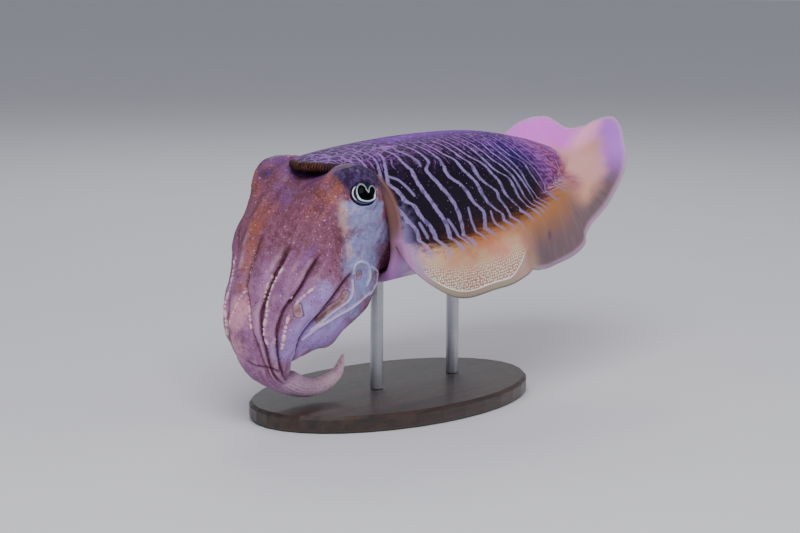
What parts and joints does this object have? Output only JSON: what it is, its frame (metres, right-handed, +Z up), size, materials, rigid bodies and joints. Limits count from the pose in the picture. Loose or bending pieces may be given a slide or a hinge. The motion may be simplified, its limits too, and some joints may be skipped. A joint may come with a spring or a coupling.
{
  "type": "common cuttlefish model",
  "caption": "Life-size common cuttlefish swimming with drooped arms and waving fins, as a still model on an oval display stand with rods.",
  "frame": {"origin": "middle of the flat underside of the stand's base, on the surface that the model rests on", "axes": "+Z up; +X from the head towards the tail, along the longest extent; -Y is the animal's left side"},
  "size_m": [0.2372, 0.1234, 0.1265],
  "materials": {
    "mantle_skin": "soft moist skin, dark purple with pale zebra lines",
    "head_skin": "soft moist skin, mauve-pink to orange-brown, finely speckled",
    "arm_skin": "soft moist skin, pink-brown, paler to the tips",
    "fin_skin": "thin translucent skin, peach to clear grey, with white dots and a white line",
    "eye": "wet gloss, black W pupil in a silver iris",
    "stand_steel": "brushed",
    "stand_paint": "satin black"
  },
  "bodies": {
    "root": {"mantle": "mantle_skin", "head": "head_skin", "fin_left": "fin_skin", "fin_right": "fin_skin", "eye_left": "eye", "eye_right": "eye", "funnel": "arm_skin", "stand_base": "stand_paint", "stand_rod_front": "stand_steel", "stand_rod_rear": "stand_steel", "arm_left_1_a": "arm_skin", "arm_left_1_b": "arm_skin", "arm_left_1_c": "arm_skin", "arm_left_2_a": "arm_skin", "arm_left_2_b": "arm_skin", "arm_left_2_c": "arm_skin", "arm_left_3_a": "arm_skin", "arm_left_3_b": "arm_skin", "arm_left_3_c": "arm_skin", "arm_left_4_a": "arm_skin", "arm_left_4_b": "arm_skin", "arm_left_4_c": "arm_skin", "arm_right_1_a": "arm_skin", "arm_right_1_b": "arm_skin", "arm_right_1_c": "arm_skin", "arm_right_1_d": "arm_skin", "arm_right_2_a": "arm_skin", "arm_right_2_b": "arm_skin", "arm_right_2_c": "arm_skin", "arm_right_3_a": "arm_skin", "arm_right_3_b": "arm_skin", "arm_right_3_c": "arm_skin", "arm_right_4_a": "arm_skin", "arm_right_4_b": "arm_skin", "arm_right_4_c": "arm_skin"}
  },
  "joints": []
}
